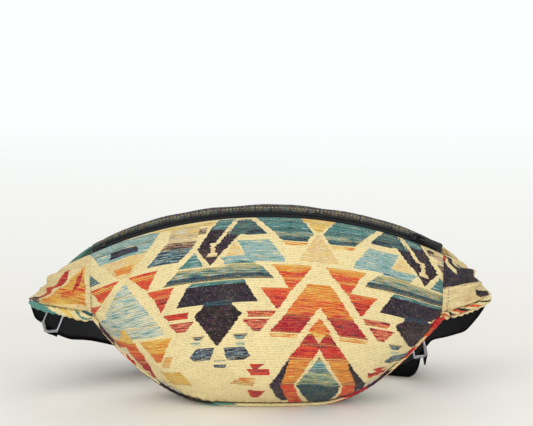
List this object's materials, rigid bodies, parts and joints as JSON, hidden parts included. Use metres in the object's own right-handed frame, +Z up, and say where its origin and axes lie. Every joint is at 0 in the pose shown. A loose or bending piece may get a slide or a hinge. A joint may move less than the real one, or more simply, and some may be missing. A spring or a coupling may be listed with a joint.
{
  "type": "waist bag",
  "caption": "Half moon waist bag of patterned woven cloth with tapered wings, a curved top zip and a webbing strap with adjusters and a release buckle.",
  "frame": {"origin": "on the surface the bag stands on, under the middle of its belly", "axes": "+X along the bag from its left wing to its right wing, -Y towards the patterned front, +Z up"},
  "size_m": [0.4062, 0.1712, 0.1682],
  "materials": {
    "cloth": "jacquard weave, matte",
    "wing_cloth": "jacquard weave, matte",
    "lining": "plain cotton",
    "zip_tape": "woven tape",
    "zip_teeth": "nylon coil",
    "dark_metal": "black enamel",
    "webbing": "polypropylene webbing",
    "silver": "bright nickel",
    "black_plastic": "moulded acetal"
  },
  "bodies": {
    "bag": {"front_panel": "cloth", "back_panel": "cloth", "lining_front": "lining", "lining_back": "lining", "bottom_welt": "cloth", "zip_tape_front": "zip_tape", "zip_tape_back": "zip_tape", "zip_teeth_front": "zip_teeth", "zip_teeth_back": "zip_teeth", "zip_stop_front": "dark_metal", "zip_stop_back": "dark_metal", "zip_stop_end": "dark_metal", "wing_left_front": "wing_cloth", "wing_left_back": "wing_cloth", "hem_left": "wing_cloth", "wing_right_front": "wing_cloth", "wing_right_back": "wing_cloth", "hem_right": "wing_cloth", "strap_left": "webbing", "strap_right": "webbing", "buckle_female": "black_plastic"},
    "slider": {"zip_slider": "dark_metal"},
    "pull": {"zip_pull": "dark_metal"},
    "buckle_half": {"buckle_male": "black_plastic"},
    "adjuster_left": {"glide_left": "silver"},
    "adjuster_right": {"glide_right": "silver"}
  },
  "joints": [
    {"name": "zip_travel", "type": "hinge", "parent": "bag", "child": "slider", "pos_m": [0, 0.136, -0.08642], "axis": [0, 0.866, 0.5], "range_deg": [-52.7, 0]},
    {"name": "pull_swing", "type": "hinge", "parent": "slider", "child": "pull", "pos_m": [0.12871, 0.00456, 0.14125], "axis": [0, 0.866, 0.5], "range_deg": [-165, 0]},
    {"name": "buckle_release", "type": "slide", "parent": "bag", "child": "buckle_half", "axis": [1, 0, 0], "range_m": [0, 0.03], "deforming": ["strap_right"]},
    {"name": "adjust_left", "type": "slide", "parent": "bag", "child": "adjuster_left", "axis": [0.8043, 0.0598, -0.5913], "range_m": [-0.005, 0.005], "deforming": ["strap_left"]},
    {"name": "adjust_right", "type": "slide", "parent": "bag", "child": "adjuster_right", "axis": [-0.5651, 0.152, -0.8109], "range_m": [-0.005, 0.005], "deforming": ["strap_right"]}
  ]
}
